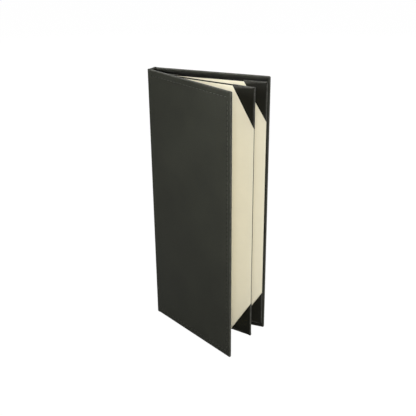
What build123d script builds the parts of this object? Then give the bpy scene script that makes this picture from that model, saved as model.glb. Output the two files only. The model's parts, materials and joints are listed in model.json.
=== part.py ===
from build123d import *

import os

# A booklet menu cover that stands on its bottom edges, fanned open.
# X runs from the spine along the centre leaf to its free edge, Y from the front cover to the
# back cover, and Z is up. The origin is at the foot of the spine, in the middle of its section.

# Sheets that the cover is made for, the room that they have on their panels, and the gap that is
# left under a sheet when it stands in its bottom pockets
sheet_width = 120.65
sheet_height = 279.4
sheet_thickness = 0.2
sheet_play_across = 0.35
sheet_play_along = 1.2
sheet_foot_gap = 0.1
sheet_slip = 0.05

# Materials of the covers and the spine, from outside in
skin = 0.5
board = 1.8
lining = 0.5
turn_in = 10.0
panel = 0.8
pocket_skin = 0.45
pocket_wall = 0.3
corner_radius = 1.5
outer_edge_radius = 1.2
inner_edge_radius = 1.3

# Margins of the covers round their panels, and the clearances of the closed booklet
end_margin = 5.4
fore_margin = 2.2
spine_clearance = 0.4
closed_gap = 0.5
hinge_bend_radius = 0.5

# Corner pockets
pocket_width = 25.5
pocket_height = 41.5

# Centre leaf
leaf_core = 0.6
leaf_covering = 0.2
leaf_lift = 1.0
tab_depth = 12.0
tab_foot_width = 2.4

# Stitching
stitch_pitch = 5.0
stitch_length = 3.8
stitch_width = 0.7
stitch_depth = 0.3
stitch_groove_play = 0.1
stitch_inset_fore = 4.5
stitch_inset_end = 6.0
stitch_start = 3.0

# How far each cover stands open from the leaf
front_opening = 16.0
back_opening = 12.0

# Sizes that follow from the ones above
plate = skin + board + lining
hinge_strip = skin + lining
panel_height = sheet_height + sheet_play_along
wrapped_width = sheet_width + sheet_play_across + 2 * pocket_wall
wrapped_height = panel_height + 2 * pocket_wall
page_stack = sheet_thickness + sheet_slip + pocket_skin
leaf_face = leaf_core / 2 + leaf_covering
hinge_gap = plate + spine_clearance
spine_board_gap = hinge_strip + hinge_bend_radius
cover_width = hinge_gap + wrapped_width + fore_margin
cover_height = wrapped_height + 2 * end_margin
booklet_thickness = 2 * (plate + panel + page_stack + closed_gap + page_stack + leaf_face)
spine_half_width = booklet_thickness / 2 - spine_board_gap
page_centre = hinge_gap + wrapped_width / 2
panel_start = hinge_gap + pocket_wall
panel_end = hinge_gap + wrapped_width - pocket_wall
sheet_start = page_centre - sheet_width / 2
sheet_end = page_centre + sheet_width / 2
sheet_drop = sheet_play_along / 2 - sheet_foot_gap
core_end = panel_end - leaf_covering
core_height = panel_height - 2 * leaf_covering

os.makedirs("parts", exist_ok=True)


def put(builder, name):
    """Names a finished piece and writes it."""
    builder.part.label = name
    export_step(builder.part, f"parts/{name}.step")


def span(start, end, height):
    """A rectangle from start to end along the sketch's X, and height across it."""
    with Locations(((start + end) / 2, 0)):
        Rectangle(end - start, height)


def upward(plane):
    """1 where a plane's sketch Y points up, and -1 where it points down."""
    return 1 if plane.y_dir.Z > 0 else -1


def sheet_outline(plane):
    """A sheet, as far down as it goes on its panel."""
    with Locations((0, -upward(plane) * sheet_drop)):
        span(sheet_start, sheet_end, sheet_height)


# The planes of the pieces: origin on a hinge corner or at the middle of the leaf, sketch X away
# from the spine, and the normal from the outer face inwards, or out of the leaf
outer_x = -plate / 2
middle_z = cover_height / 2
sides = ("front", "back")
signs = {"front": -1, "back": 1}
openings = {"front": front_opening, "back": back_opening}
cover_planes = {}
leaf_planes = {}
for side in sides:
    sign = signs[side]
    hinge_corner = (outer_x, sign * booklet_thickness / 2, middle_z)
    closed_plane = Plane(origin=hinge_corner, x_dir=(1, 0, 0), z_dir=(0, -sign, 0))
    cover_planes[side] = closed_plane.rotated((0, 0, sign * openings[side]))
    leaf_centre = (outer_x, 0, middle_z + leaf_lift)
    leaf_planes[side] = Plane(origin=leaf_centre, x_dir=(1, 0, 0), z_dir=(0, sign, 0))
spine_plane = Plane(origin=(outer_x, 0, middle_z), x_dir=(0, 1, 0), z_dir=(1, 0, 0))


def stitch_rows():
    """The places of the stitch lines: the two ends and the fore-edge, as length and centre."""
    end_length = cover_width - stitch_inset_fore - hinge_gap - stitch_start
    end_centre = hinge_gap + stitch_start + end_length / 2
    end_y = cover_height / 2 - stitch_inset_end
    return (
        ("along", end_length, (end_centre, end_y)),
        ("along", end_length, (end_centre, -end_y)),
        ("up", 2 * end_y, (cover_width - stitch_inset_fore, 0)),
    )


for side in sides:
    face = cover_planes[side]

    # Outer leatherette: skin, wrapped edges and the turn-in on the inside, with a stitch groove
    with BuildPart() as cover_leather:
        with BuildSketch(face):
            span(hinge_gap, cover_width, cover_height)
        extrude(amount=plate)
        outward = Axis(face.origin, face.x_dir)
        inward = Axis(face.origin, face.z_dir)
        fillet(cover_leather.edges().filter_by(inward).sort_by(outward)[-2:], corner_radius)
        fillet(cover_leather.faces().sort_by(inward)[0].edges().sort_by(outward)[1:], outer_edge_radius)
        fillet(cover_leather.faces().sort_by(inward)[-1].edges().sort_by(outward)[1:], inner_edge_radius)
        with BuildSketch(face.offset(skin)):
            span(hinge_gap, cover_width - skin, cover_height - 2 * skin)
        extrude(amount=board, mode=Mode.SUBTRACT)
        with BuildSketch(face.offset(skin + board)):
            span(hinge_gap, cover_width - turn_in, cover_height - 2 * turn_in)
        extrude(amount=lining, mode=Mode.SUBTRACT)
        with BuildSketch(face):
            groove = stitch_width + 2 * stitch_groove_play
            for direction, length, centre in stitch_rows():
                with Locations(centre):
                    if direction == "along":
                        Rectangle(length + groove, groove)
                    else:
                        Rectangle(groove, length + groove)
        extrude(amount=stitch_depth, mode=Mode.SUBTRACT)
    put(cover_leather, f"{side}_cover_leather")

    # Stiff board inside the leatherette
    with BuildPart() as cover_board:
        with BuildSketch(face.offset(skin)):
            span(hinge_gap + lining, cover_width - skin, cover_height - 2 * skin)
        extrude(amount=board)
    put(cover_board, f"{side}_cover_board")

    # Lining between the turn-ins, folded over the board's edge at the hinge
    with BuildPart() as cover_lining:
        with BuildSketch(face.offset(skin + board)):
            span(hinge_gap, cover_width - turn_in, cover_height - 2 * turn_in)
        extrude(amount=lining)
        with BuildSketch(face.offset(skin)):
            span(hinge_gap, hinge_gap + lining, cover_height - 2 * skin)
        extrude(amount=board)
    put(cover_lining, f"{side}_cover_lining")

    # Panel that carries the sheet, glued to the inside of the cover
    with BuildPart() as inner_panel:
        with BuildSketch(face.offset(plate)):
            span(panel_start, panel_end, panel_height)
        extrude(amount=panel)
    put(inner_panel, f"{side}_inner_panel")

    # Menu sheet, blank
    with BuildPart() as menu_sheet:
        with BuildSketch(face.offset(plate + panel)):
            sheet_outline(face)
        extrude(amount=sheet_thickness)
    put(menu_sheet, f"{side}_menu_sheet")

    # Stitches round the two ends and the fore-edge, lying in the groove
    with BuildPart() as stitching:
        with BuildSketch(face):
            for direction, length, centre in stitch_rows():
                count = int(length / stitch_pitch)
                with Locations(centre):
                    if direction == "along":
                        with GridLocations(stitch_pitch, stitch_pitch, count, 1):
                            SlotOverall(stitch_length, stitch_width)
                    else:
                        with GridLocations(stitch_pitch, stitch_pitch, 1, count):
                            SlotOverall(stitch_length, stitch_width, rotation=90)
        extrude(amount=stitch_depth)
    put(stitching, f"{side}_stitching")


def corners(plane):
    """The panel's corners: name, direction along the sketch's X, direction along its Y."""
    for end, rise in (("top", 1), ("bottom", -1)):
        for edge, across in (("fore", 1), ("spine", -1)):
            yield f"{end}_{edge}", across, rise * upward(plane)


# Corner pockets: a triangle of leatherette over the sheet's corner, with two walls that wrap the
# panel's edges, on the covers down to the lining and on the leaf down to its middle
pages = [(side, cover_planes[side], plate, plate + panel) for side in sides]
pages += [(f"leaf_{side}", leaf_planes[side], 0.0, leaf_face) for side in sides]
for page, plane, wall_foot, page_face in pages:
    pocket_under = page_face + sheet_thickness + sheet_slip
    for corner, across, along in corners(plane):
        corner_x = page_centre + across * wrapped_width / 2
        corner_y = along * wrapped_height / 2
        with BuildPart() as pocket:
            with BuildSketch(plane.offset(wall_foot)):
                with BuildLine():
                    Polyline(
                        (corner_x, corner_y),
                        (corner_x - across * pocket_width, corner_y),
                        (corner_x, corner_y - along * pocket_height),
                        close=True,
                    )
                make_face()
            extrude(amount=pocket_under + pocket_skin - wall_foot)
            with BuildSketch(plane.offset(wall_foot)):
                span(panel_start, panel_end, panel_height)
            extrude(amount=pocket_under - wall_foot, mode=Mode.SUBTRACT)
            if page.startswith("leaf") and across < 0:
                with BuildSketch(plane):
                    span(0, page_centre, core_height)
                extrude(amount=leaf_core / 2, mode=Mode.SUBTRACT)
        put(pocket, f"{page}_{corner}_pocket")

# Centre leaf: a stiff core, and on each face a covering turned over its edges and a blank sheet
with BuildPart() as leaf_board:
    with BuildSketch(leaf_planes["front"]):
        span(panel_start + tab_depth, core_end, core_height)
    extrude(amount=leaf_core / 2, both=True)
put(leaf_board, "leaf_board")

for side in sides:
    with BuildPart() as covering:
        with BuildSketch(leaf_planes[side]):
            span(panel_start, panel_end, panel_height)
        extrude(amount=leaf_face)
        with BuildSketch(leaf_planes[side]):
            span(panel_start, core_end, core_height)
        extrude(amount=leaf_core / 2, mode=Mode.SUBTRACT)
    put(covering, f"leaf_{side}_covering")

    with BuildPart() as leaf_sheet:
        with BuildSketch(leaf_planes[side].offset(leaf_face)):
            sheet_outline(leaf_planes[side])
        extrude(amount=sheet_thickness)
    put(leaf_sheet, f"leaf_{side}_menu_sheet")

# Binding tab: a folded strip, its foot glued to the spine's lining and its stem between the
# leaf's two coverings
with BuildPart() as leaf_tab:
    with BuildSketch(leaf_planes["front"]):
        span(plate, panel_start + tab_depth, core_height)
    extrude(amount=leaf_core / 2, both=True)
    with BuildSketch(leaf_planes["front"]):
        span(plate, hinge_gap, core_height)
    extrude(amount=tab_foot_width / 2, both=True)
put(leaf_tab, "leaf_binding_tab")

# Spine: leatherette wrapped over the ends of a narrow board, and a lining inside
with BuildPart() as spine_leather:
    with BuildSketch(spine_plane):
        Rectangle(2 * spine_half_width, cover_height)
    extrude(amount=plate)
    ends = spine_leather.edges().filter_by(Axis.Y)
    fillet(ends.sort_by(Axis.X)[:2], outer_edge_radius)
    fillet(spine_leather.edges().filter_by(Axis.Y).sort_by(Axis.X)[-2:], inner_edge_radius)
    with BuildSketch(spine_plane.offset(skin)):
        Rectangle(2 * spine_half_width, cover_height - 2 * skin)
    extrude(amount=board, mode=Mode.SUBTRACT)
    with BuildSketch(spine_plane.offset(skin + board)):
        Rectangle(2 * spine_half_width, cover_height - 2 * turn_in)
    extrude(amount=lining, mode=Mode.SUBTRACT)
put(spine_leather, "spine_leather")

with BuildPart() as spine_board:
    with BuildSketch(spine_plane.offset(skin)):
        Rectangle(2 * (spine_half_width - lining), cover_height - 2 * skin)
    extrude(amount=board)
put(spine_board, "spine_board")

with BuildPart() as spine_lining:
    with BuildSketch(spine_plane.offset(skin + board)):
        Rectangle(2 * spine_half_width, cover_height - 2 * turn_in)
    extrude(amount=lining)
    with BuildSketch(spine_plane.offset(skin)):
        Rectangle(2 * spine_half_width, cover_height - 2 * skin)
        Rectangle(2 * (spine_half_width - lining), cover_height - 2 * skin, mode=Mode.SUBTRACT)
    extrude(amount=board)
put(spine_lining, "spine_lining")

# Living hinges: skin and lining glued together, from the spine's edge round the corner to the
# cover's edge
for side in sides:
    to_spine = Vector(0, -signs[side], 0)
    to_cover = cover_planes[side].x_dir
    corner = Vector(outer_x, signs[side] * booklet_thickness / 2, 0)
    inner_corner = corner + (to_spine + to_cover) * (hinge_strip / to_spine.cross(to_cover).length)
    spine_end = corner + to_spine * spine_board_gap
    cover_end = corner + to_cover * hinge_gap
    with BuildPart() as hinge_leather:
        with BuildSketch() as section:
            with BuildLine():
                Polyline(
                    spine_end,
                    corner,
                    cover_end,
                    cover_end + cover_planes[side].z_dir * hinge_strip,
                    inner_corner,
                    spine_end + Vector(hinge_strip, 0, 0),
                    close=True,
                )
            make_face()
            fillet(section.vertices().sort_by_distance(corner)[0], hinge_strip + hinge_bend_radius)
            fillet(section.vertices().sort_by_distance(inner_corner)[0], hinge_bend_radius)
        extrude(amount=cover_height)
    put(hinge_leather, f"{side}_hinge_leather")
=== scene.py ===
"""The looks of a booklet menu cover that stands fanned open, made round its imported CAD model.

Lengths are in metres. A page is measured along it from the spine, up from its middle, and deep
from its face into the cover, or out of the middle of the centre leaf.
"""

import json
import math

import bmesh
import bpy
import numpy as np
from bpy.props import FloatProperty, FloatVectorProperty, PointerProperty
from mathutils import Matrix, Vector


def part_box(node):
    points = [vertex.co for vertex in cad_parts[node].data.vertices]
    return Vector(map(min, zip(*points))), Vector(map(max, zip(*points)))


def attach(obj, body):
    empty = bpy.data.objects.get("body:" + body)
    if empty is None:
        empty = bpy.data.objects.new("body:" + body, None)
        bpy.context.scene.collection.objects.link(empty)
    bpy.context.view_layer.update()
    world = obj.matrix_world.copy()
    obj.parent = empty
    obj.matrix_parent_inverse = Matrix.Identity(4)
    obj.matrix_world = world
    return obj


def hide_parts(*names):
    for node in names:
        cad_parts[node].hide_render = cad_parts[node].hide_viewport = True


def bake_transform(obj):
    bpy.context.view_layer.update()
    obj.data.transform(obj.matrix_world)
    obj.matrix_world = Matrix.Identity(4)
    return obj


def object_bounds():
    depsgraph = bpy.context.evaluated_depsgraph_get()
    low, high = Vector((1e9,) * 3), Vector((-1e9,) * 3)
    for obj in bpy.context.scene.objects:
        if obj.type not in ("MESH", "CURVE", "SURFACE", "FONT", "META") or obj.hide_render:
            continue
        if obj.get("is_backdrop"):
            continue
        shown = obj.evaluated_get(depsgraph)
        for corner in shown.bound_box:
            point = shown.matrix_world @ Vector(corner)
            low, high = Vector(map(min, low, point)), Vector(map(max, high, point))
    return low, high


bl_info = {
    "name": "Menu cover",
    "version": (1, 0, 0),
    "blender": (4, 5, 0),
    "location": "3D View > Sidebar > Menu cover",
    "description": "Leatherette, paper and thread of a booklet menu cover",
    "category": "Object",
}

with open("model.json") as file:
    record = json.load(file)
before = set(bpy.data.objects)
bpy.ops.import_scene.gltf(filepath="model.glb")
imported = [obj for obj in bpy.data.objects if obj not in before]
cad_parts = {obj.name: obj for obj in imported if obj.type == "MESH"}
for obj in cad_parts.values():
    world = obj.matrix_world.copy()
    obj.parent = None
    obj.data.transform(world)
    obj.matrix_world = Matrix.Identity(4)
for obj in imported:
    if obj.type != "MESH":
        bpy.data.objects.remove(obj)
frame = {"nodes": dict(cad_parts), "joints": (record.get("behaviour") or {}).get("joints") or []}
cad_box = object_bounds()

WELD = 1e-6
ROOT = "spine_and_leaf"
UP = np.array([0.0, 0.0, 1.0])

# Distance between the points of flat pages, and the inner radius of a sharp fold
PAGE_SPACING = 0.006
TIGHT = 0.00005

# Steps of the quarter circles of a cover's corners and edges, and of finer folds
ROUND_STEPS = 6
FOLD_STEPS = 4


# Places and sizes, read from the frame


def node_points(node):
    """The corners of a CAD node as an array of points."""
    mesh = frame["nodes"][node].data
    flat = np.empty(3 * len(mesh.vertices), np.float32)
    mesh.vertices.foreach_get("co", flat)
    return flat.reshape(-1, 3).astype(float)


class Page:
    """A flat page with its own directions: along it, up, and deep."""

    def __init__(self, origin, along, deep):
        self.origin = np.array(origin, float)
        self.axes = np.array([along, UP, deep], float)

    def place(self, along, up, deep):
        """The origin plus each direction times its number, for whole arrays of numbers."""
        numbers = np.stack(np.broadcast_arrays(along, up, deep), axis=-1)
        return self.origin + numbers @ self.axes

    def extent(self, node):
        """The lowest and the highest (along, up, deep) of a CAD node."""
        local = (node_points(node) - self.origin) @ self.axes.T
        return local.min(axis=0), local.max(axis=0)


def opened_page(hinge, sign):
    """The outer face of a cover, from its hinge: it lies as far from the closed booklet as the
    joint's lower limit says. The front cover opens to -Y and the back cover to +Y."""
    opening = math.radians(-hinge["range_deg"][0])
    along = (math.cos(opening), sign * math.sin(opening), 0)
    deep = (math.sin(opening), -sign * math.cos(opening), 0)
    return Page(hinge["pos_m"], along, deep)


# Pages of the two covers, and of the leaf's two faces from the leaf's middle outwards
SIDES = {"front": -1, "back": 1}
hinges = {joint["child"]: joint for joint in frame["joints"]}
covers = {side: opened_page(hinges[f"{side}_cover"], sign) for side, sign in SIDES.items()}
leaf_low, leaf_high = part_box("leaf_front_covering")
leaf_origin = (hinges["front_cover"]["pos_m"][0], 0, (leaf_low.z + leaf_high.z) / 2)
leaves = {side: Page(leaf_origin, (1, 0, 0), (0, sign, 0)) for side, sign in SIDES.items()}

cover_low, cover_high = covers["front"].extent("front_cover_leather")
hinge_gap, cover_width, plate = cover_low[0], cover_high[0], cover_high[2]
half_height = cover_high[1]
board_low, board_high = covers["front"].extent("front_cover_board")
skin = board_low[2]
lining = plate - board_high[2]
spine_low, spine_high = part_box("spine_leather")
hinge_strip = skin + lining
core_low, core_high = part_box("leaf_board")
half_core = (core_high.y - core_low.y) / 2


# Meshes


def quads(index):
    """Quads between the points of a grid, from an array of their numbers."""
    corners = (index[:-1, :-1], index[1:, :-1], index[1:, 1:], index[:-1, 1:])
    return np.stack(corners, axis=-1).reshape(-1, 4)


def bridge(first, second):
    """Quads between two lines of points that are counted alike."""
    return np.stack([first[:-1], first[1:], second[1:], second[:-1]], axis=-1)


def shell(outer, inner, folded=False):
    """A closed wall between two grids of the same shape: both grids, and quads from rim to rim.
    Where the first row is folded in two and welded to itself, it has no rim."""
    index = np.arange(outer[..., 0].size).reshape(outer.shape[:2])
    rim = np.concatenate([index[:, -1], index[-1, -2::-1], index[-2::-1, 0]])
    if not folded:
        rim = np.concatenate([index[0], rim[1:]])
    faces = quads(index)
    points = np.concatenate([outer.reshape(-1, 3), inner.reshape(-1, 3)])
    sides = bridge(rim, rim + index.size)
    return points, np.concatenate([faces, faces[:, ::-1] + index.size, sides])


def arc(centre, radius, start, stop, steps):
    """Points of a quarter circle or less, as rows of (out, deep): the centre plus the radius
    times the cosine and the sine of an angle in degrees that runs from start to stop."""
    angle = np.radians(np.linspace(start, stop, steps + 1))
    return np.array(centre) + radius * np.column_stack([np.cos(angle), np.sin(angle)])


def make_piece(name, node, points, faces, body, material, wear=None, crease=35):
    """A mesh piece of a named material, in place of a CAD node, whose doubled points are welded
    and whose faces are turned outwards. Edges that turn by more than crease, in degrees, stay
    sharp."""
    mesh = bpy.data.meshes.new(name)
    mesh.from_pydata(points.tolist(), [], [list(map(int, face)) for face in faces])
    if wear is not None:
        layer = mesh.attributes.new("wear", "FLOAT", "POINT")
        layer.data.foreach_set("value", wear.astype(np.float32))
    build = bmesh.new()
    build.from_mesh(mesh)
    bmesh.ops.remove_doubles(build, verts=build.verts, dist=WELD)
    bmesh.ops.recalc_face_normals(build, faces=build.faces)
    if build.calc_volume(signed=True) < 0:
        bmesh.ops.reverse_faces(build, faces=build.faces)
    build.to_mesh(mesh)
    build.free()
    mesh.polygons.foreach_set("use_smooth", np.ones(len(mesh.polygons), bool))
    mesh.set_sharp_from_angle(angle=math.radians(crease))
    mesh.materials.append(material_for(material))
    piece = bpy.data.objects.new(name, mesh)
    bpy.context.scene.collection.objects.link(piece)
    if body:
        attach(piece, body)
    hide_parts(node)
    return piece


def stations(low, high, spacing):
    """Numbers from low to high with about the given spacing."""
    return np.linspace(low, high, max(2, round((high - low) / spacing) + 1))


def three_sides(along, up):
    """Stations round the free sides of a page: along its foot, up the fore-edge and back along
    its head, with a quarter circle at each corner. Each has a point of the rectangle inside the
    edges and the direction outwards. All stations of a corner stand on one point."""
    turn = np.linspace(0, 90, ROUND_STEPS + 1)[1:-1]
    head, fore_edge = np.full(len(along), 90), np.zeros(len(up))
    angle = np.radians(np.concatenate([-head, turn - 90, fore_edge, turn, head]))
    count = len(along) + len(turn)
    base = np.column_stack([
        np.concatenate([along, along[-1:].repeat(len(up) + 2 * len(turn)), along[::-1]]),
        np.concatenate([up[:1].repeat(count), up, up[-1:].repeat(count)]),
    ])
    return base, np.column_stack([np.cos(angle), np.sin(angle)])


def wrapped_page(page, along, up, outer, inner, relief, fold):
    """The skin of a page that is wrapped over its three free edges.

    The face is a grid of along and up, as deep as relief says. Round it runs a band: at each
    station of the free sides its points are the station's point plus its direction times out,
    and as deep as the profile's second number. Its third number, from 0 to 1, draws the point
    towards the rectangle that the turned-in skin ends on, so that the strips meet in mitres.
    The inner profile makes the skin's other side, which is flat behind the face and whose
    corners are square. With the points and faces come the counts of the face's points, which
    are the first, and of the stations of the band, whose outer side follows.
    """
    base, outward = three_sides(along, up)
    start, end, top = along[0], along[-1], up[-1]
    ends = np.array([start + (base[:, 0] - start) * (end - fold - start) / (end - start),
                     base[:, 1] * (top - fold) / top]).T

    def band(profile, stretch):
        out, deep, drawn = profile.T[..., None]
        flat = base[:, None] + outward[:, None] * stretch * out + (ends - base)[:, None] * drawn
        return page.place(flat[..., 0], flat[..., 1], deep[:, 0])

    square = 1 / np.abs(outward).max(axis=1)[:, None, None]
    face_along, face_up = np.meshgrid(along, up, indexing="ij")
    face = page.place(face_along, face_up, relief(face_along, face_up))
    rounds = [band(outer, 1), band(inner, square)]
    hinge_line = page.place(along[0], up, inner[0, 1])

    index = np.arange(face_along.size).reshape(face_along.shape)
    outer_index = index.size + np.arange(len(base) * len(outer)).reshape(len(base), -1)
    inner_index = outer_index + outer_index.size
    line_index = index.size + 2 * outer_index.size + index[0]
    hinge_outer = np.concatenate([outer_index[0, ::-1], index[0], outer_index[-1]])
    hinge_inner = np.concatenate([inner_index[0, ::-1], line_index, inner_index[-1]])
    walls = np.concatenate([
        quads(index), quads(outer_index), quads(inner_index),
        bridge(outer_index[:, -1], inner_index[:, -1]), bridge(hinge_outer, hinge_inner),
    ])
    back = np.concatenate([inner_index[:, 0], line_index[-2:0:-1]])
    points = np.concatenate([face.reshape(-1, 3), *(r.reshape(-1, 3) for r in rounds), hinge_line])
    return points, [*walls.tolist(), back.tolist()], (index.size, len(base))


# Where the points of a slab's round edge lie, as shares of its radius
ROUND_SHARES = np.array([0, 0.08, 0.3, 0.62, 1.0])


def slab(page, low, high, radius, bulge=None):
    """A thin sheet or panel between two corners (along, up, deep). Both faces are grids whose
    depth is drawn in by a quarter round near the edges: by the radius less the root of the
    radius squared less the square of how far a point is past the round's start. Bulge adds to
    the depth of both faces alike."""
    near = radius * ROUND_SHARES

    def lines(first, last):
        flat = stations(first + radius, last - radius, PAGE_SPACING)[1:-1]
        return np.concatenate([first + near, flat, last - near[::-1]])

    along, up = np.meshgrid(lines(low[0], high[0]), lines(low[1], high[1]), indexing="ij")
    inside = np.minimum.reduce([along - low[0], high[0] - along, up - low[1], high[1] - up])
    past = np.clip(radius - inside, 0, radius)
    drawn = radius - np.sqrt(radius**2 - past**2)
    shift = 0 if bulge is None else bulge(along, up)
    return shell(page.place(along, up, high[2] - drawn + shift),
                 page.place(along, up, low[2] + drawn + shift))


# Materials


# Sockets of the node that mixes two colours
MIX_SHARE, MIX_FIRST, MIX_SECOND, MIX_RESULT = 0, 6, 7, 2


class Tree:
    """The node tree of a material or of the world, with short ways to add and join nodes."""

    def __init__(self, owner):
        owner.use_nodes = True
        self.owner = owner
        self.nodes = owner.node_tree.nodes
        self.nodes.clear()

    def feed(self, node, inputs):
        """Each input, by its name or number, set to a value or joined to a (node, output)."""
        for socket, value in inputs.items():
            target = node.inputs[socket.replace("_", " ") if isinstance(socket, str) else socket]
            if isinstance(value, tuple) and isinstance(value[0], bpy.types.Node):
                self.owner.node_tree.links.new(value[0].outputs[value[1]], target)
            else:
                target.default_value = value
        return node

    def add(self, kind, fields=None, **inputs):
        """A node with its fields set and its inputs fed."""
        node = self.nodes.new(kind)
        for field, value in (fields or {}).items():
            setattr(node, field, value)
        return self.feed(node, inputs)

    def calculate(self, kind, operation, *inputs):
        """A node that works out an operation on its numbered inputs."""
        return self.feed(self.add(kind, {"operation": operation}), dict(enumerate(inputs)))

    def noise(self, place, scale, detail, roughness=0.55):
        return self.add("ShaderNodeTexNoise", Vector=(place, "Object"), Scale=scale,
                        Detail=detail, Roughness=roughness), "Fac"

    def ramp(self, source, stops):
        """A curve of grey from stops of (place, grey)."""
        node = self.add("ShaderNodeValToRGB", Fac=source)
        elements = node.color_ramp.elements
        for element, (position, grey) in zip(elements, stops):
            element.position = position
            element.color = (grey, grey, grey, 1)
        return node, "Color"

    def mix(self, share, first, second, blend="MIX"):
        """A mix of two colours."""
        node = self.add("ShaderNodeMix", {"data_type": "RGBA", "blend_type": blend})
        self.feed(node, {MIX_SHARE: share, MIX_FIRST: first, MIX_SECOND: second})
        return node, MIX_RESULT

    def shaded(self, colour, source, stops):
        """A colour times a curve of grey."""
        return self.mix(1.0, colour, self.ramp(source, stops), "MULTIPLY")

    def bump(self, height, **inputs):
        """The normals of a surface that is raised by a height."""
        return self.add("ShaderNodeBump", Height=height, **inputs), "Normal"

    def surface(self, **inputs):
        """The material, with its shader's inputs fed."""
        shader = self.add("ShaderNodeBsdfPrincipled", **inputs)
        self.add("ShaderNodeOutputMaterial", Surface=(shader, "BSDF"))
        return self.owner


def leather_material(tree, place, colour, roughness, grain):
    """Imitation leather: pebbles of the grain's size with fine creases between them and a slow
    change of shade over the hide. Where the point attribute is above zero the colour is mixed
    towards the paler edge colour, partly rubbed wear and partly a painted highlight along the
    rims; where it is below zero the colour is darkened as painted shade in folds, grooves and
    hollows."""
    settings = bpy.context.scene.menu_cover_finish
    size, depth = settings.grain_size, settings.grain_depth * grain
    darkest_painted_shade, smoother, rougher = 0.05, 0.04, 0.05
    warp, _ = tree.noise(place, scale=0.5 / size, detail=2.0)
    drift = tree.calculate("ShaderNodeVectorMath", "MULTIPLY_ADD", (warp, "Color"),
                           (0.4 * size,) * 3, (place, "Object"))
    pebbles = tree.add("ShaderNodeTexVoronoi", {"feature": "SMOOTH_F1"},
                       Vector=(drift, "Vector"), Scale=1 / size, Smoothness=0.35, Randomness=0.9)
    pores = tree.noise(place, scale=3 / size, detail=2.0)
    hide = tree.noise(place, scale=28, detail=4.0, roughness=0.6)
    base = tree.shaded(colour, hide, [(0.3, 0.82), (0.7, 1.14)])
    grained = tree.shaded(base, (pebbles, "Distance"), [(0.25, 1.0), (0.75, 0.72)])
    # The point attribute holds rubbed wear and a painted highlight above zero, and painted shade
    # below zero
    wear = tree.add("ShaderNodeAttribute", {"attribute_name": "wear"})
    scuffs = tree.noise(place, scale=240, detail=4.0, roughness=0.7)
    patches = tree.ramp(scuffs, [(0.35, 0.25), (0.68, 1.0)])
    worn_and_painted_light = tree.calculate("ShaderNodeMath", "MULTIPLY", (wear, "Fac"), patches)
    # Mix towards the edge colour: partly rubbed wear, partly a painted highlight on the rims
    rubbed_and_highlit = tree.mix((worn_and_painted_light, 0), grained, (*settings.edge, 1))
    # Below zero the colour is darkened down to the darkest share: painted shade
    painted_shade = tree.add("ShaderNodeMapRange", Value=(wear, "Fac"), From_Min=-1.0, From_Max=0.0,
                   To_Min=darkest_painted_shade, To_Max=1.0)
    gloss = tree.add("ShaderNodeMapRange", Value=hide, From_Min=0.3, From_Max=0.7,
                     To_Min=roughness - smoother, To_Max=roughness + rougher)
    large = tree.bump((pebbles, "Distance"), Strength=0.55, Distance=-depth)
    fine = tree.bump(pores, Strength=0.3, Distance=0.35 * depth, Normal=large)
    return tree.surface(Base_Color=tree.mix(1.0, rubbed_and_highlit, (painted_shade, "Result"), "MULTIPLY"),
                        Normal=fine, Roughness=(gloss, "Result"),
                        Specular_IOR_Level=settings.gloss)


def cloth_material(tree, place, colour):
    """Matt lining cloth: level ribs, as a wave up the fabric, and fibres in its colour."""
    ribs = tree.add("ShaderNodeTexWave", {"wave_type": "BANDS", "bands_direction": "Z"},
                    Vector=(place, "Object"), Scale=1300, Distortion=1.5)
    fibre = tree.noise(place, scale=1800, detail=2.0)
    base = tree.shaded(colour, fibre, [(0.2, 0.75), (0.8, 1.2)])
    raised = tree.bump((ribs, "Color"), Strength=0.4, Distance=0.00005)
    return tree.surface(Base_Color=base, Normal=raised, Roughness=0.85, Specular_IOR_Level=0.1)


def paper_material(tree, place, colour):
    """Uncoated cream card: cloudy stock, fine fibres in the colour and a soft tooth."""
    clouds = tree.noise(place, scale=60, detail=4.0, roughness=0.6)
    cloudy = tree.shaded(colour, clouds, [(0.3, 0.965), (0.7, 1.0)])
    fibres = tree.noise(place, scale=2600, detail=3.0, roughness=0.7)
    final = tree.shaded(cloudy, fibres, [(0.3, 0.95), (0.6, 1.0)])
    tooth = tree.bump(fibres, Strength=0.25, Distance=0.00002)
    return tree.surface(Base_Color=final, Normal=tooth, Roughness=0.72, Specular_IOR_Level=0.3)


def card_material(tree, place, colour):
    """Greyboard: pressed grey pulp with darker and paler flecks."""
    pulp = tree.noise(place, scale=900, detail=5.0, roughness=0.75)
    flecked = tree.shaded(colour, pulp, [(0.3, 0.7), (0.65, 1.1)])
    rough = tree.bump(pulp, Strength=0.4, Distance=0.00005)
    return tree.surface(Base_Color=flecked, Normal=rough, Roughness=0.9)


def thread_material(tree, place, colour):
    """Spun polyester: fibres that catch a little light and vary along the thread."""
    fibres = tree.noise(place, scale=3500, detail=3.0, roughness=0.7)
    base = tree.shaded(colour, fibres, [(0.3, 0.75), (0.7, 1.25)])
    raised = tree.bump(fibres, Strength=0.4, Distance=0.00004)
    return tree.surface(Base_Color=base, Normal=raised, Roughness=0.5, Specular_IOR_Level=0.15,
                        Sheen_Weight=0.03)


# Slot of each material, what makes it, the setting of its colour, and what else it is told
MATERIALS = {
    "grained_leatherette": ("leatherette", leather_material, "leather",
                            {"roughness": 0.5, "grain": 1.0}),
    "pocket_leatherette": ("leatherette", leather_material, "pocket",
                           {"roughness": 0.55, "grain": 0.8}),
    "cream_card": ("paper", paper_material, "paper", {}),
    "spun_thread": ("thread", thread_material, "thread", {}),
    "lining_cloth": ("lining", cloth_material, "cloth", {}),
    "pressed_board": ("greyboard", card_material, "board", {}),
}


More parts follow.
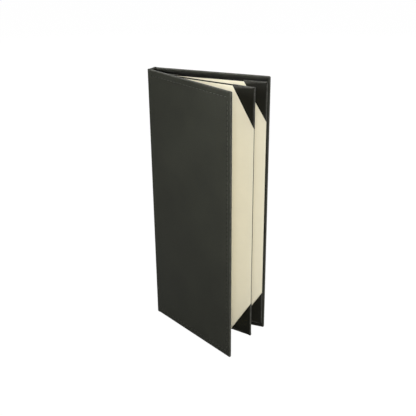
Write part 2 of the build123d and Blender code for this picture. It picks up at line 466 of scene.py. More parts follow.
def material_for(name):
    """The material of a name, made the first time that it is asked for."""
    if name in bpy.data.materials:
        return bpy.data.materials[name]
    _, make, field, numbers = MATERIALS[name]
    tint = getattr(bpy.context.scene.menu_cover_finish, field)
    tree = Tree(bpy.data.materials.new(name))
    return make(tree, tree.add("ShaderNodeTexCoord"), (*tint, 1), **numbers)


# Settings


def setting(**kind):
    """What makes settings of one kind, each from its name, description and default."""
    def make(name, description, default):
        return FloatProperty(name=name, description=description, default=default, **kind)

    return make


# Settings in metres, in watts, in radians, and as shares from 0 to 1
length = setting(subtype="DISTANCE", unit="LENGTH", precision=5)
power = setting(subtype="POWER", unit="POWER", min=0)
bearing = setting(subtype="ANGLE", unit="ROTATION")
fraction = setting(subtype="FACTOR", min=0, max=1)


def colour(name, description, default):
    """A colour, in scene light."""
    return FloatVectorProperty(name=name, description=description, default=default,
                               subtype="COLOR", size=3, min=0, max=1)


def from_screen(red, green, blue):
    """Scene light of a colour that is given as a screen shows it, from 0 to 255."""
    shown = np.array([red, green, blue]) / 255
    return tuple(np.where(shown <= 0.04045, shown / 12.92, ((shown + 0.055) / 1.055) ** 2.4))


class MenuCoverFinish(bpy.types.PropertyGroup):
    """Colours and grain of the materials"""

    leather: colour("Leatherette", "Skin of the covers and the spine", from_screen(43, 44, 37))
    # The pocket leatherette is a darker copy of the skin: its darkness is painted shade of the
    # deep places between the pages
    pocket: colour("Pocket leatherette", "Corner pockets and panels", from_screen(22, 22, 16))
    paper: colour("Paper", "Blank menu sheets", from_screen(229, 223, 201))
    # The worn edge colour stands for rubbed edges and for a painted highlight along the rims
    edge: colour("Worn edge", "Rubbed edges of the skins", from_screen(96, 96, 90))
    thread: colour("Thread", "Stitching round the covers", from_screen(60, 61, 54))
    # The lining cloth is dark, and made near black as painted shade for the hollow between the
    # covers at the spine
    cloth: colour("Lining cloth", "Inside of the spine and the covers", from_screen(9, 9, 7))
    board: colour("Greyboard", "Stiff boards inside the skin", from_screen(118, 114, 106))
    grain_size: length("Grain size", "Width of one pebble of the grain", 0.00055)
    grain_depth: length("Grain depth", "Height of the grain's pebbles", 0.00006)
    gloss: fraction("Gloss", "Strength of the skin's reflection", 0.15)


class MenuCoverShape(bpy.types.PropertyGroup):
    """Sizes of the skins and pockets that the CAD model leaves open"""

    spacing: length("Spacing", "Distance between the points of a cover's face", 0.00125)
    outer_edge: length("Outer edge", "Rounding of a cover's outer edges", 0.0012)
    inner_edge: length("Inner edge", "Rounding of a cover's inner edges", 0.0013)
    corner: length("Corner", "Rounding of a cover's corners", 0.0015)
    hinge_edge: length("Hinge edge", "Rounding of a hinge strip's ends", 0.00035)
    hinge_bend: length("Hinge bend", "Inner radius of a hinge strip's bend", 0.0005)
    turn_in: length("Turn-in", "Width of the skin turned over inside a cover", 0.01)
    pocket_edge: length("Pocket edge", "Rounding of a pocket over the panel's edge", 0.001)
    pocket_hem: length("Pocket hem", "Width of the hem along a pocket's slanted edge", 0.006)
    pocket_skin: length("Pocket skin", "Thickness of a pocket's flap", 0.00045)
    sheet_bow: length("Sheet bow", "How far a sheet stands off its panel between pockets", 0.0003)


class MenuCoverStitching(bpy.types.PropertyGroup):
    """The seam round the free edges of each cover"""

    pitch: length("Pitch", "From one stitch to the next", 0.005)
    stitch: length("Stitch", "Length of one stitch", 0.0038)
    thickness: length("Thread", "Thickness of the thread", 0.00065)
    fore_inset: length("Fore-edge inset", "From the fore-edge to the seam", 0.0045)
    end_inset: length("End inset", "From the head or the foot to the seam", 0.006)
    start: length("Start", "From the hinge edge to the first stitch", 0.003)
    groove: length("Groove", "Depth of the groove that the thread pulls into the skin", 0.0004)


class MenuCoverStage(bpy.types.PropertyGroup):
    """The camera and the light"""

    lens: FloatProperty(name="Lens", description="Focal length on a 36 mm sensor", default=61.5,
                        min=10, subtype="DISTANCE_CAMERA", unit="CAMERA")
    azimuth: bearing("Azimuth", "How far round from the front cover's side", math.radians(33.136))
    pitch: bearing("Pitch", "How far the camera looks down", math.radians(23.917))
    roll: bearing("Roll", "How far the camera leans", math.radians(-0.552))
    distance: length("Distance", "From the camera to the spine, level", 0.7348)
    sideways: length("Sideways", "Camera's place to the right of the spine", 0.05815)
    height: length("Height", "Camera's height above the floor", 0.45774)
    key: power("Key lamp", "Soft lamp in front of the front cover and above", 7.5)
    overhead: power("Overhead lamp", "Soft lamp above", 9.5)
    back_left: power("Back left lamp", "Soft lamp behind the back cover", 10)
    back_right: power("Back right lamp", "Soft lamp behind the fore-edges", 14.7)
    right: power("Right lamp", "Soft lamp that shines between the open pages", 2.5)
    right_front: power("Right front lamp", "Soft lamp in front of the fore-edges", 18.7)
    corner: power("Corner lamp", "Narrow lamp on the front cover's upper corner", 0.7)
    sky: fraction("Surroundings", "Strength of the even light all round", 0.22)
    white: fraction("White floor", "Share of the floor that always shows white", 0.92)


# Covers


# Distances of the extra points on either side of a row of stitches
ROW_OFFSETS = np.array([0.00015, 0.0004, 0.0007, 0.0011])

# Where the last points of the skin's profile lie, as shares of the turn-in's width
TURN_IN_SHARES = (0, 0.3, 0.97, 1)

# Rub along the profile, over its outer and its inner round: partly wear, partly a painted
# highlight on the rims. Below zero it is painted shade on the turn-in.
OUTER_RUB_AND_HIGHLIGHT = (0.1, 0.25, 0.45, 0.65, 0.8, 0.85, 0.8)
INNER_RUB_AND_HIGHLIGHT = (0.8, 0.85, 0.8, 0.7, 0.5, 0.3, 0.1)
TURN_IN_PAINTED_SHADE = (-0.2, -0.9, -1, -1)


def near_ends(points, reach, fade):
    """How close points are to the head or the foot: 1 up to the reach less the fade, and 0 from
    the reach on, in a straight line between them."""
    middle, half = (spine_low.z + spine_high.z) / 2, (spine_high.z - spine_low.z) / 2
    return np.clip((np.abs(points[:, 2] - middle) - (half - reach)) / fade, 0, 1)


def seam_rows(seam):
    """The lines of stitches on a cover, each as (direction, middle, count of stitches)."""
    run = cover_width - seam.fore_inset - hinge_gap - seam.start
    middle = hinge_gap + seam.start + run / 2
    rise = half_height - seam.end_inset
    return (
        ((1, 0), (middle, rise), int(run / seam.pitch)),
        ((1, 0), (middle, -rise), int(run / seam.pitch)),
        ((0, 1), (cover_width - seam.fore_inset, 0), int(2 * rise / seam.pitch)),
    )


def seam_relief(seam):
    """How deep the stitches pull the skin in, as a function of (along, up): for each row the
    groove's depth times the bell curve of the distance across the row, shallower by a cosine
    under each stitch and deepest at the needle holes, less a low swell beside the row."""
    width, level, wave, fade = 0.00055, 0.72, 0.28, 0.0008
    swell_place, swell_width, swell_height = 0.0017, 0.0009, 0.00007
    flat_rim, rim_fade, hinge_fade = 0.0015, 0.001, 0.002

    def relief(along, up):
        total = np.zeros_like(along)
        for (dx, dy), (x, y), count in seam_rows(seam):
            run = (along - x) * dx + (up - y) * dy
            across = (along - x) * dy + (up - y) * dx
            half = count * seam.pitch / 2
            on = np.clip((half + fade / 2 - np.abs(run)) / fade, 0, 1)
            phase = run / seam.pitch + (count + 1) / 2
            pull = level - wave * np.cos(2 * math.pi * phase)
            bell = np.exp(-((across / width) ** 2))
            swell = np.exp(-(((np.abs(across) - swell_place) / swell_width) ** 2))
            total = np.maximum(total, on * seam.groove * pull * bell)
            total = total - on * swell_height * swell * (1 - bell)
        inside = np.minimum(cover_width - along, half_height - np.abs(up))
        edge = np.clip((inside - flat_rim) / rim_fade, 0, 1)
        start = np.clip((along - hinge_gap) / hinge_fade, 0, 1)
        return total * edge * start

    return relief


def dense_near(numbers, places):
    """The numbers without those near the rows' places, with extra ones on both sides of each."""
    offsets = np.concatenate([-ROW_OFFSETS, ROW_OFFSETS])
    clearance = 1.3 * ROW_OFFSETS[-1]
    clear = np.abs(numbers[:, None] - places).min(axis=1) > clearance
    clear[[0, -1]] = True
    return np.unique(np.concatenate([numbers[clear], (places[:, None] + offsets).ravel()]))


def skin_profile(out, face, inside, first_radius, last_radius):
    """Rows of (out, deep, drawn) from the face's depth round an edge that stands out this far,
    and along the turn-in at the inside's depth. Both bends are quarter circles."""
    line = np.concatenate([
        [(0, face)],
        arc((out - first_radius, face + first_radius), first_radius, -90, 0, ROUND_STEPS),
        arc((out - last_radius, inside - last_radius), last_radius, 0, 90, ROUND_STEPS),
        [(0, inside)] * len(TURN_IN_SHARES),
    ])
    drawn = np.zeros(len(line))
    drawn[-len(TURN_IN_SHARES):] = TURN_IN_SHARES
    return np.column_stack([line, drawn])


def make_cover_leather(side):
    """The skin of one cover. Its profile runs over the outer edge, round it to the inside, and
    on to the end of the turn-in, which is pressed in. Its rounds are paler, partly rubbed wear and
    partly a painted highlight, most near the head and the foot; the turn-in and the skin where the
    seams pull it in are darkened as painted shade."""
    shape = bpy.context.scene.menu_cover_shape
    seam = bpy.context.scene.menu_cover_stitching
    corner, rise = shape.corner, half_height - seam.end_inset
    pressed_in, least_rub_and_highlight, end_reach = 0.00015, 0.5, 0.002
    groove_painted_shade, painted_shade_growth = 0.55, 2.5
    outer = skin_profile(corner, 0, plate, shape.outer_edge, shape.inner_edge)
    outer[-1, 1] -= pressed_in
    inner = skin_profile(corner - skin, skin, plate - lining, TIGHT, TIGHT)
    along = stations(hinge_gap, cover_width - corner, shape.spacing)
    along = dense_near(along, np.array([cover_width - seam.fore_inset]))
    up = stations(corner - half_height, half_height - corner, shape.spacing)
    up = dense_near(up, np.array([-rise, rise]))
    relief = seam_relief(seam)
    points, faces, (face_count, band_count) = wrapped_page(
        covers[side], along, up, outer, inner, relief, shape.turn_in - corner)
    wear = np.zeros(len(points))
    pulled_in = relief(*np.meshgrid(along, up, indexing="ij")) / seam.groove
    # Painted shade: the skin is darkened where the seams pull it in
    wear[:face_count] = -groove_painted_shade * np.clip(painted_shade_growth * pulled_in, 0, 1).ravel()
    # Paler over the rounds (rubbed wear and a painted highlight), painted shade on the turn-in
    worn_and_painted_light = np.tile([0, *OUTER_RUB_AND_HIGHLIGHT, *INNER_RUB_AND_HIGHLIGHT, *TURN_IN_PAINTED_SHADE], band_count)
    band = slice(face_count, face_count + len(worn_and_painted_light))
    # The rub and painted highlight are strongest near the head and the foot
    at_end = near_ends(points[band], 2 * end_reach, end_reach)
    rub_and_highlight = least_rub_and_highlight + (1 - least_rub_and_highlight) * at_end
    wear[band] = np.where(worn_and_painted_light > 0, worn_and_painted_light * rub_and_highlight, worn_and_painted_light)
    make_piece(f"{side}_cover_skin", f"{side}_cover_leather", points, faces, f"{side}_cover",
               "grained_leatherette", wear)


class MENUCOVER_OT_cover_leathers(bpy.types.Operator):
    """Make the leatherette skins of the two covers"""

    bl_idname = "menu_cover.cover_leathers"
    bl_label = "Cover skins"

    def execute(self, context):
        for side in covers:
            make_cover_leather(side)
        return {"FINISHED"}


def stitch_shape(seam):
    """One stitch as points (run, across, deep) and faces. Its rings are flattened circles whose
    radius falls towards the ends by the fourth power of the run, with two strands as a wave
    that turns round the thread as it runs, and whose middle sinks at the ends."""
    rings, sides, half_turns = 7, 8, 1.5
    thinning, ridge, flatness = 0.45, 0.1, 0.8
    middle_deep, ends_deeper = 0.00018, 0.00022
    share = np.linspace(-1, 1, rings)[:, None]
    angle = np.linspace(0, 2 * math.pi, sides, endpoint=False)[None, :]
    strands = np.cos(2 * (angle - half_turns * math.pi * share))
    radius = seam.thickness / 2 * (1 - thinning * share**4) * (1 + ridge * strands)
    run = share * seam.stitch / 2 + 0 * angle
    deep = middle_deep + ends_deeper * share**4 - flatness * radius * np.sin(angle)
    points = np.stack([run, radius * np.cos(angle), deep], axis=-1).reshape(-1, 3)
    index = np.arange(run.size).reshape(run.shape)
    walls = quads(np.column_stack([index, index[:, 0]]))
    return points, walls, index[[0, -1]]


class MENUCOVER_OT_stitching(bpy.types.Operator):
    """Make the thread of the seams round the covers"""

    bl_idname = "menu_cover.stitching"
    bl_label = "Stitching"

    def execute(self, context):
        seam = context.scene.menu_cover_stitching
        shape, walls, caps = stitch_shape(seam)
        for side, page in covers.items():
            points, faces = [], []
            first = 0
            for (dx, dy), (x, y), count in seam_rows(seam):
                steps = (np.arange(count) - (count - 1) / 2) * seam.pitch
                run = steps[:, None] + shape[None, :, 0]
                across = shape[:, 1]
                placed = page.place(x + run * dx + across * dy, y + run * dy + across * dx,
                                    shape[:, 2])
                points.append(placed.reshape(-1, 3))
                starts = first + np.arange(count) * len(shape)
                faces += (starts[:, None, None] + walls[None]).reshape(-1, 4).tolist()
                for cap in caps:
                    faces += (starts[:, None] + cap[None]).tolist()
                first += count * len(shape)
            make_piece(f"{side}_seam_thread", f"{side}_stitching", np.concatenate(points),
                       faces, f"{side}_cover", "spun_thread", crease=60)
        return {"FINISHED"}


# Spine and hinges


def rising_line(radius, deep, margin, spacing, steps):
    """Rows of (up, deep) from foot to head: a quarter circle at each end, and between them the
    face at its depth, from a margin off the ends."""
    foot, head = spine_low.z + deep, spine_high.z - deep
    flat = stations(foot + margin, head - margin, spacing)
    return np.concatenate([
        arc((foot + radius, deep + radius), radius, 180, 270, steps),
        np.column_stack([flat, np.full(len(flat), deep)]),
        arc((head - radius, deep + radius), radius, 270, 360, steps),
    ])


def make_spine():
    """The spine's skin: across the spine a flat grid, and in height a line that runs from the
    end of the turn-in at the foot round the board's edge, up the outer side, and back in."""
    shape = bpy.context.scene.menu_cover_shape
    low, high, depth = spine_low.z, spine_high.z, spine_high.x - spine_low.x
    lines_across, spacing, end_rub_and_highlight = 9, 0.004, 0.5

    def line(face, inside, round_out, round_in):
        foot, head, deep = low + face, high - face, inside - round_in
        return np.concatenate([
            [(low + shape.turn_in, inside)],
            arc((foot + round_in, deep), round_in, 90, 180, FOLD_STEPS),
            rising_line(round_out, face, spacing, spacing, ROUND_STEPS),
            arc((head - round_in, deep), round_in, 0, 90, FOLD_STEPS),
            [(high - shape.turn_in, inside)],
        ])

    across = np.linspace(spine_low.y, spine_high.y, lines_across)[:, None]

    def spread(path):
        grid = np.broadcast_arrays(spine_low.x + path[:, 1], across, path[:, 0])
        return np.stack(grid, axis=-1)

    points, faces = shell(spread(line(0, depth, shape.outer_edge, shape.inner_edge)),
                          spread(line(skin, depth - lining, TIGHT, TIGHT)))
    # The spine's ends are paler: partly rubbed wear, partly a painted highlight
    wear = end_rub_and_highlight * near_ends(points, shape.outer_edge, shape.outer_edge)
    make_piece("spine_skin", "spine_leather", points, faces, ROOT, "grained_leatherette", wear)


def make_hinge(side, sign):
    """A hinge strip: in plan it leaves the spine's edge, turns the corner on a quarter circle or
    less, and meets the cover's edge. Its ends are rounded in height."""
    shape = bpy.context.scene.menu_cover_shape
    page, edge = covers[side], shape.hinge_edge
    lead_lines, bend_lines, tail_lines, end_rub_and_highlight = 2, 15, 5, 0.4
    corner, to_cover = page.origin[:2], page.axes[0][:2]
    to_spine = np.array([0.0, -sign])
    turn = math.acos(float(to_cover @ -to_spine))
    radius = hinge_strip + shape.hinge_bend
    centre = corner + to_spine * radius * math.tan(turn / 2) + np.array([radius, 0.0])
    swing = np.linspace(0, turn, bend_lines)
    normals = np.column_stack([np.cos(swing), -sign * np.sin(swing)])
    curve = centre - radius * normals
    first = corner + to_spine * (abs(corner[1]) - spine_high.y)
    last = corner + to_cover * hinge_gap
    lead = np.linspace(first, curve[0], lead_lines + 1)[:-1]
    tail = np.linspace(curve[-1], last, tail_lines + 1)[1:]
    plan = np.concatenate([lead, curve, tail])
    outwards = np.pad(normals, ((lead_lines, tail_lines), (0, 0)), mode="edge")
    line = rising_line(edge, 0, PAGE_SPACING / 2, PAGE_SPACING, FOLD_STEPS)

    def spread(deep):
        flat = plan[:, None] + outwards[:, None] * deep[:, None]
        rise = np.broadcast_to(line[:, :1], (*flat.shape[:2], 1))
        return np.concatenate([flat, rise], axis=-1)

    points, faces = shell(spread(line[:, 1]), spread(hinge_strip - line[:, 1]))
    at_end = near_ends(points, 2 * edge, edge)
    inner_side = np.arange(len(points)) >= len(points) // 2
    # Painted shade: the inner side is darkened to black for the hollow by the spine; the ends are
    # paler, partly rubbed wear, partly a painted highlight
    wear = np.where(inner_side & (at_end == 0), -1, end_rub_and_highlight * at_end)
    piece = make_piece(f"{side}_hinge_skin", f"{side}_hinge_leather", points, faces, None,
                       "grained_leatherette", wear)
    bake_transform(piece)


class MENUCOVER_OT_spine(bpy.types.Operator):
    """Make the skin of the spine and the two hinge strips"""

    bl_idname = "menu_cover.spine"
    bl_label = "Spine and hinges"

    def execute(self, context):
        make_spine()
        for side, sign in SIDES.items():
            make_hinge(side, sign)
        return {"FINISHED"}


# Pages


def bowed(low, high, amount):
    """How far a sheet stands off: the amount times a share that grows by the sine of the way
    across, and times the square of the sine of the way up, so that its corners stay down in
    their pockets."""
    at_edge = 0.35

    def bow(along, up):
        across = np.clip((along - low[0]) / (high[0] - low[0]), 0, 1)
        rise = np.clip((up - low[1]) / (high[1] - low[1]), 0, 1)
        arch = at_edge + (1 - at_edge) * np.sin(math.pi * across)
        return amount * arch * np.sin(math.pi * rise) ** 2

    return bow


class MENUCOVER_OT_panels(bpy.types.Operator):
    """Make the leatherette panels that carry the sheets inside the covers"""

    bl_idname = "menu_cover.panels"
    bl_label = "Panels"

    def execute(self, context):
        edge, painted_shade = 0.0003, 0.8
        for side, page in covers.items():
            # Painted shade: the panels are darkened well below the pocket colour
            points, faces = slab(page, *page.extent(f"{side}_inner_panel"), edge)
            make_piece(f"{side}_panel", f"{side}_inner_panel", points, faces, f"{side}_cover",
                       "pocket_leatherette", np.full(len(points), -painted_shade))
        return {"FINISHED"}


class MENUCOVER_OT_sheets(bpy.types.Operator):
    """Make the four blank menu sheets"""

    bl_idname = "menu_cover.sheets"
    bl_label = "Menu sheets"

    def execute(self, context):
        amount, edge = context.scene.menu_cover_shape.sheet_bow, 0.00006
        for side in covers:
            for node, page, body in (
                (f"{side}_menu_sheet", covers[side], f"{side}_cover"),
                (f"leaf_{side}_menu_sheet", leaves[side], ROOT),
            ):
                low, high = page.extent(node)
                points, faces = slab(page, low, high, edge, bowed(low, high, amount))
                make_piece(f"{node}_paper", node, points, faces, body, "cream_card")
        return {"FINISHED"}


class MENUCOVER_OT_leaf(bpy.types.Operator):
    """Make the two coverings of the centre leaf, which turn over its edges"""

    bl_idname = "menu_cover.leaf"
    bl_label = "Leaf coverings"

    def execute(self, context):
        edge, steps = 0.001, 5
        for side, page in leaves.items():
            low, high = page.extent(f"leaf_{side}_covering")
            face, wall = high[2], high[2] - half_core
            inside = edge - wall
            turned = arc((inside, face - wall), wall, 90, 0, steps)
            outer = np.array([(0, face), *turned, (edge, 0)])
            inner = np.array([(0, half_core), *[(inside, half_core)] * len(turned), (inside, 0)])
            along = stations(low[0], high[0] - edge, PAGE_SPACING)
            up = stations(low[1] + edge, high[1] - edge, PAGE_SPACING)
            undrawn = np.zeros((len(outer), 1))
            points, faces, _ = wrapped_page(
                page, along, up, np.hstack([outer, undrawn]), np.hstack([inner, undrawn]),
                lambda along, up: np.full_like(along, face), edge)
            make_piece(f"leaf_{side}_skin", f"leaf_{side}_covering", points, faces, ROOT,
                       "pocket_leatherette")
        return {"FINISHED"}


# Pockets


# A pocket's lines: the foot of a wall, a round, the flap, the other round and the other foot
ROUND_POINTS = 6
FLAP_POINTS = 10
FLAP = slice(1 + ROUND_POINTS, 1 + ROUND_POINTS + FLAP_POINTS)

# Distances of the lines from the hem: close together over the rounded lip, at
# the end of the hem's fold, and where the lines grow short
FROM_HEM = np.array([0, 0.00003, 0.00009, 0.00018, 0.0003, 0.0006, 0.0012, 0.0022, 0.0035,
                     0.0048, 0.0056, 0.006, 0.0064, 0.0072, 0.009, 0.011, 0.013, 0.015,
                     0.017, 0.0185, 0.0198, 0.0208, 0.0214])

# Rub along the lines, over the wall at the head or foot and over the wall at the side: partly
# wear, partly a painted highlight on the pocket's rims
END_WALL_RUB_AND_HIGHLIGHT = (0.2, 0.4, 0.7, 0.9, 0.9, 0.7, 0.5)
SIDE_WALL_RUB_AND_HIGHLIGHT = (0.15, 0.35, 0.6, 0.7, 0.6, 0.4, 0.2)
TINY = 1e-9


def pocket_grid(width, height, wall, foot, top, rounding, shares, foot_cut):
    """A corner pocket's outer or inner side, as arrays of (across, down, deep) from the corner.

    Lines run parallel to the slanted hem, each from the foot of one wall up to the rounded edge,
    over the flap and down the other wall. A line's share of the way from the corner to the hem
    scales it. The rounds are quarter circles, smaller near the corner.
    """
    smallest = wall / width + wall / height
    share = np.maximum(shares, smallest)[:, None]
    beyond = share > smallest + TINY
    bend = rounding * np.minimum(1, share * width / (3 * rounding)) * beyond
    angle = np.radians(np.linspace(0, 90, ROUND_POINTS))[None, :]
    in_flap = np.linspace(0, 1, FLAP_POINTS + 2)[None, 1:-1]
    level = wall * np.ones_like(share)

    def down_line(down):
        return width * (share - down / height)

    def across_line(across):
        return height * (share - across / width)

    turned = wall + bend * (1 - np.cos(angle))
    turned_back = turned[:, ::-1]
    raised = top - bend * (1 - np.sin(angle))
    start, stop = down_line(wall + bend), wall + bend
    over_flap = start + (stop - start) * in_flap
    across = np.hstack([down_line(level), down_line(turned), over_flap, turned_back, level])
    down = np.hstack([level, turned, across_line(over_flap), across_line(turned_back),
                      across_line(level)])
    flat = top + 0 * over_flap
    feet = foot + 0 * share
    return across, down, np.hstack([feet, raised, flat, raised[:, ::-1], feet + foot_cut * beyond])


def rounded_corner(across, down, radius):
    """Points past the quarter circle at the corner, drawn straight back to it."""
    x, y = across - radius, down - radius
    away = np.hypot(x, y)
    outside = (x < 0) & (y < 0) & (away > radius)
    scale = np.where(outside, radius / np.maximum(away, TINY), 1)
    return radius + x * scale, radius + y * scale


def make_pocket(page, node, body, panel, foot_cut):
    """One corner pocket: its outer side is wrapped round the panel's edges, and its inner side
    keeps clear of the sheet. The hem is a little thicker, with a lip rounded by a quarter
    circle. The flap is crowned by the sine of the way from the corner, and gapes at the hem."""
    shape = bpy.context.scene.menu_cover_shape
    low, high = page.extent(node)
    panel_low, panel_high = panel
    wall = (panel_low[0] - low[0]) if "spine" in node else (high[0] - panel_high[0])
    (width, height), (foot, top) = (high - low)[:2], (low[2], high[2])
    inner_round, corner, lip, inner_lip = 0.0001, 0.0005, 0.0002, 0.7
    hem_thicker, hem_step = 0.00007, 0.0006
    crown_height, gape, gape_fade = 0.00008, 0.00006, 0.005
    hem_way = width * height / math.hypot(width, height)
    shares = np.concatenate([[0.0], 1 - FROM_HEM[::-1] / hem_way])
    outer = pocket_grid(width, height, 0.0, foot, top, shape.pocket_edge, shares, foot_cut)
    inner = pocket_grid(width, height, wall, foot, top - shape.pocket_skin, inner_round,
                        shares, foot_cut)
    on_flap = np.zeros(outer[0].shape[1])
    on_flap[FLAP.start - 1:FLAP.stop + 1] = 1
    arch = np.zeros(len(on_flap))
    arch[FLAP] = np.sin(np.linspace(0, math.pi, FLAP_POINTS + 2)[1:-1])
    distance = ((1 - shares) * hem_way)[:, None]
    past = np.clip(lip - distance, 0, lip)
    drawn = (lip - np.sqrt(lip**2 - past**2)) * on_flap
    to_fold = shape.pocket_hem + hem_step / 2 - distance
    hem = hem_thicker * np.clip(to_fold / hem_step, 0, 1) * on_flap
    crown = (crown_height * np.sin(math.pi * shares)[:, None]
             + gape * np.exp(-distance / gape_fade)) * arch

    def placed(across, down, deep):
        along = high[0] - across if "fore" in node else low[0] + across
        up = high[1] - down if "top" in node else low[1] + down
        return page.place(along, up, deep)

    points, faces = shell(
        placed(*rounded_corner(*outer[:2], corner), outer[2] + hem - drawn + crown),
        placed(*inner[:2], inner[2] + inner_lip * drawn + crown), folded=True)
    # The walls over the panel's edges are paler: partly rubbed wear, partly a painted highlight
    line = [*END_WALL_RUB_AND_HIGHLIGHT, *np.zeros(FLAP_POINTS), *SIDE_WALL_RUB_AND_HIGHLIGHT]
    wear = np.zeros(len(points))
    wear[:outer[0].size] = np.tile(line, len(shares))
    make_piece(f"{node}_skin", node, points, faces, body, "pocket_leatherette", wear, crease=45)


class MENUCOVER_OT_pockets(bpy.types.Operator):
    """Make the corner pockets that hold the sheets"""

    bl_idname = "menu_cover.pockets"
    bl_label = "Corner pockets"

    def execute(self, context):
        for side in covers:
            cover_panel = covers[side].extent(f"{side}_inner_panel")
            leaf_panel = leaves[side].extent(f"leaf_{side}_covering")
            for end in ("top", "bottom"):
                for edge, leaf_cut in (("fore", 0.0), ("spine", half_core)):
                    node = f"{side}_{end}_{edge}_pocket"
                    make_pocket(covers[side], node, f"{side}_cover", cover_panel, 0.0)
                    make_pocket(leaves[side], f"leaf_{node}", ROOT, leaf_panel, leaf_cut)
        return {"FINISHED"}


# Pieces that keep their CAD shapes, by material
KEPT_SHAPES = {
    "pressed_board": ("front_cover_board", "back_cover_board", "spine_board", "leaf_board"),
    "lining_cloth": ("front_cover_lining", "back_cover_lining", "spine_lining",
                     "leaf_binding_tab"),
}


class MENUCOVER_OT_boards(bpy.types.Operator):
    """Give the boards, linings and the binding tab, which keep their CAD shapes, their finish"""

    bl_idname = "menu_cover.boards"
    bl_label = "Boards and linings"

    def execute(self, context):
        for material, nodes in KEPT_SHAPES.items():
            for node in nodes:
                frame["nodes"][node].material_slots[0].material = material_for(material)
        return {"FINISHED"}


# Stage


# Place and size of each lamp, and for the narrow one its aim and its spread in degrees
LAMPS = {
    "key": ((-0.55, -1.3, 1.25), 0.9),
    "overhead": ((-0.1, 0, 1.7), 1.6),
    "back_left": ((-0.7, 1.35, 0.8), 1.2),
    "back_right": ((1.4, 0.8, 0.7), 1.2),
    "right": ((1.5, -0.8, 0.7), 0.9),
    "right_front": ((1.1, -1.3, 0.6), 0.9),
    "corner": ((-0.3, -0.9, 0.55), 0.3, (0.26, 0, 0.36), 40),
}


def add_lamp(name, watts, place, size, aim=(0.05, 0, 0.15), spread=180):
    """A soft square lamp that shines at a point of the object, over the spread in degrees, and
    isn't seen itself."""
    lamp = bpy.data.lights.new(name, "AREA")
    lamp.shape = "SQUARE"
    lamp.size = size
    lamp.energy = watts
    lamp.spread = math.radians(spread)
    thing = bpy.data.objects.new(name, lamp)
    thing.location = place
    thing.rotation_euler = (Vector(aim) - Vector(place)).to_track_quat("-Z", "Y").to_euler()
    thing.visible_camera = False
    bpy.context.scene.collection.objects.link(thing)


def floor_material(white):
    """A pale floor that shows white to the camera, less a little shade under the object."""
    tree = Tree(bpy.data.materials.new("floor"))
    shader = tree.add("ShaderNodeBsdfPrincipled", Base_Color=(0.4, 0.4, 0.4, 1), Roughness=0.9,
                      Specular_IOR_Level=0.0)
    glow = tree.add("ShaderNodeEmission", Strength=1.07)
    ray = tree.add("ShaderNodeLightPath")
    share = tree.calculate("ShaderNodeMath", "MULTIPLY", (ray, "Is Camera Ray"), white)
    mixed = tree.add("ShaderNodeMixShader")
    tree.feed(mixed, {0: (share, 0), 1: (shader, "BSDF"), 2: (glow, "Emission")})
    tree.add("ShaderNodeOutputMaterial", Surface=(mixed, "Shader"))
    return tree.owner


def add_floor(scene, white):
    """A wide floor, which is the stage and no part of the object."""
    mesh, reach = bpy.data.meshes.new("floor"), 12.0
    corners = [(-reach, -reach, 0), (reach, -reach, 0), (reach, reach, 0), (-reach, reach, 0)]
    mesh.from_pydata(corners, [], [range(4)])
    mesh.materials.append(floor_material(white))
    floor = bpy.data.objects.new("floor", mesh)
    scene.collection.objects.link(floor)
    floor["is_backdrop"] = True


def add_surroundings(scene, sky):
    """Even light all round, and white to the camera."""
    tree = Tree(bpy.data.worlds.new("studio"))
    ray = tree.add("ShaderNodeLightPath")
    strength = tree.add("ShaderNodeMapRange", Value=(ray, "Is Camera Ray"), To_Min=sky,
                        To_Max=1.0)
    background = tree.add("ShaderNodeBackground", Color=(1, 1, 1, 1),
                          Strength=(strength, "Result"))
    tree.add("ShaderNodeOutputWorld", Surface=(background, "Background"))
    scene.world = tree.owner


def add_camera(scene, stage):
    """The camera: turned round the spine by the azimuth, tipped down from level by the pitch and
    leaned by the roll."""
    lens = bpy.data.cameras.new("camera")
    lens.lens = stage.lens
    lens.sensor_width = 36
    camera = bpy.data.objects.new("camera", lens)
    turned = Matrix.Rotation(stage.azimuth, 3, "Z")
    tipped = Matrix.Rotation(math.pi / 2 - stage.pitch, 3, "X")
    camera.location = turned @ Vector((stage.sideways, -stage.distance, stage.height))
    camera.location.x += spine_low.x
    camera.rotation_euler = (turned @ tipped @ Matrix.Rotation(stage.roll, 3, "Z")).to_euler()
    scene.collection.objects.link(camera)
    scene.camera = camera


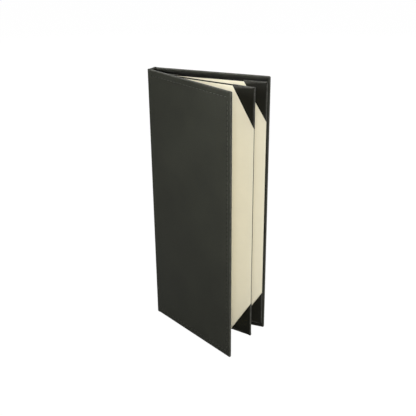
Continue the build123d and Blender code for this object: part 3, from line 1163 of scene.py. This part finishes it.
class MENUCOVER_OT_stage(bpy.types.Operator):
    """Make the floor, the light and the camera"""

    bl_idname = "menu_cover.stage"
    bl_label = "Stage"

    def execute(self, context):
        scene = context.scene
        stage = scene.menu_cover_stage
        add_floor(scene, stage.white)
        add_surroundings(scene, stage.sky)
        for name, lamp in LAMPS.items():
            add_lamp(f"{name}_lamp", getattr(stage, name), *lamp)
        add_camera(scene, stage)
        scene.view_settings.view_transform = "Standard"
        return {"FINISHED"}


STEPS = (
    MENUCOVER_OT_stage,
    MENUCOVER_OT_boards,
    MENUCOVER_OT_cover_leathers,
    MENUCOVER_OT_stitching,
    MENUCOVER_OT_spine,
    MENUCOVER_OT_panels,
    MENUCOVER_OT_leaf,
    MENUCOVER_OT_sheets,
    MENUCOVER_OT_pockets,
)

SETTINGS = {
    "menu_cover_finish": MenuCoverFinish,
    "menu_cover_shape": MenuCoverShape,
    "menu_cover_stitching": MenuCoverStitching,
    "menu_cover_stage": MenuCoverStage,
}


class MENUCOVER_PT_panel(bpy.types.Panel):
    """Steps and settings of the menu cover"""

    bl_idname = "MENUCOVER_PT_panel"
    bl_label = "Menu cover"
    bl_space_type = "VIEW_3D"
    bl_region_type = "UI"
    bl_category = "Menu cover"

    def draw(self, context):
        for step in STEPS:
            self.layout.operator(step.bl_idname)
        for name, group in SETTINGS.items():
            box = self.layout.box()
            for field in group.__annotations__:
                box.prop(getattr(context.scene, name), field)


def register():
    for group in (*SETTINGS.values(), *STEPS, MENUCOVER_PT_panel):
        bpy.utils.register_class(group)
    for name, group in SETTINGS.items():
        setattr(bpy.types.Scene, name, PointerProperty(type=group))


def unregister():
    for name in SETTINGS:
        delattr(bpy.types.Scene, name)
    for group in (MENUCOVER_PT_panel, *STEPS[::-1], *SETTINGS.values()):
        bpy.utils.unregister_class(group)


def main():
    register()
    for step in STEPS:
        family, name = step.bl_idname.split(".")
        getattr(getattr(bpy.ops, family), name)()
    boxes = {"cad": cad_box, "visual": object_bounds()}
    {key: [list(corner) for corner in box] for key, box in boxes.items()}


if __name__ == "__main__":
    main()
